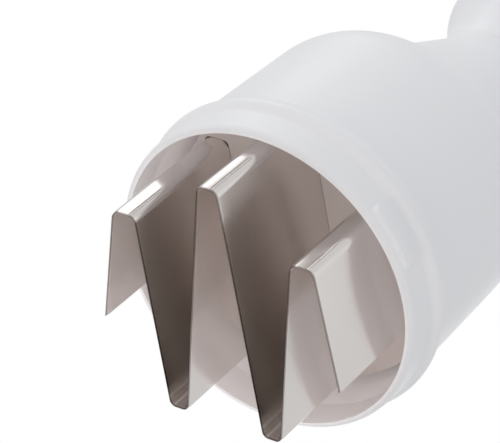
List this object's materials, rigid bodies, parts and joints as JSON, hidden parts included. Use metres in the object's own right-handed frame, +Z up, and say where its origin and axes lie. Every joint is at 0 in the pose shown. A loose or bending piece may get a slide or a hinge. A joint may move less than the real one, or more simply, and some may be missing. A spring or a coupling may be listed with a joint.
{
  "type": "plunger food chopper",
  "caption": "Hand-pressed food chopper: an open-mouthed domed housing, a zig-zag strip blade on a sprung plunger that turns it a step each stroke, and a flared palm knob on top.",
  "frame": {"origin": "on the tool's axis, at the level of the cutting edges that it stands on with the plunger pressed", "axes": "+Z runs up the axis to the palm knob; the blade's three crests point to -Y and its two tips lie to -X and +X"},
  "size_m": [0.091, 0.091, 0.1702],
  "materials": {
    "white_shell": "moulded white plastic, satin gloss",
    "white_collar": "moulded white plastic, satin gloss, with a crisp lip",
    "white_handle": "moulded white plastic, satin gloss",
    "blade_steel": "polished stainless strip with a ground edge",
    "carrier_plastic": "moulded off-white plastic",
    "sleeve_plastic": "smooth turned light grey plastic",
    "guide_plastic": "natural acetal, matt",
    "inner_plastic": "moulded off-white plastic, matt",
    "gear_plastic": "ivory acetal, matt",
    "buffer_rubber": "black rubber",
    "spindle_steel": "drawn steel bar",
    "screw_steel": "bright zinc-plated steel",
    "spring_steel": "drawn spring wire"
  },
  "bodies": {
    "housing": {"housing_shell": "white_shell", "collar_ring": "white_collar", "neck_bush": "guide_plastic", "mechanism_plate": "inner_plastic", "plate_screws": "screw_steel", "ratchet_wheel": "gear_plastic", "pawl_pins": "screw_steel", "pawl_springs": "spring_steel", "guide_core": "guide_plastic", "spring_seat": "screw_steel", "return_spring": "spring_steel"},
    "plunger": {"plunger_sleeve": "sleeve_plastic", "handle_shell": "white_handle", "handle_cap": "white_handle", "handle_screws": "screw_steel", "buffer_ring": "buffer_rubber", "top_washer": "screw_steel"},
    "blade_head": {"blade": "blade_steel", "blade_carrier": "carrier_plastic", "clamp_plate": "carrier_plastic", "carrier_screws": "screw_steel", "spindle": "spindle_steel", "centre_screw": "screw_steel", "retaining_clip": "spring_steel", "thrust_washer": "screw_steel"},
    "first_pawl": {"pawl_a": "gear_plastic"},
    "second_pawl": {"pawl_b": "gear_plastic"}
  },
  "joints": [
    {"name": "plunger_slide", "type": "slide", "parent": "housing", "child": "plunger", "axis": [0, 0, 1], "range_m": [0, 0.034], "stiffness_N_per_m": 150, "springref_m": 0.065, "deforming": ["return_spring"]},
    {"name": "blade_turn", "type": "hinge", "parent": "plunger", "child": "blade_head", "pos_m": [0, 0, 0.1], "axis": [0, 0, 1], "range_deg": [0, 45.1]},
    {"name": "pawl_a_pivot", "type": "hinge", "parent": "housing", "child": "first_pawl", "pos_m": [0.00712, -0.00598, 0.0876], "axis": [0, 0, -1], "range_deg": [0, 11], "stiffness_Nm_per_rad": 0.002, "springref_deg": -11.46},
    {"name": "pawl_b_pivot", "type": "hinge", "parent": "housing", "child": "second_pawl", "pos_m": [-0.00712, 0.00598, 0.0876], "axis": [0, 0, -1], "range_deg": [0, 11], "stiffness_Nm_per_rad": 0.002, "springref_deg": -11.46}
  ],
  "couplings": [
    {"joint": "blade_turn", "follows": "plunger_slide", "rad_per_m": 23.1}
  ]
}
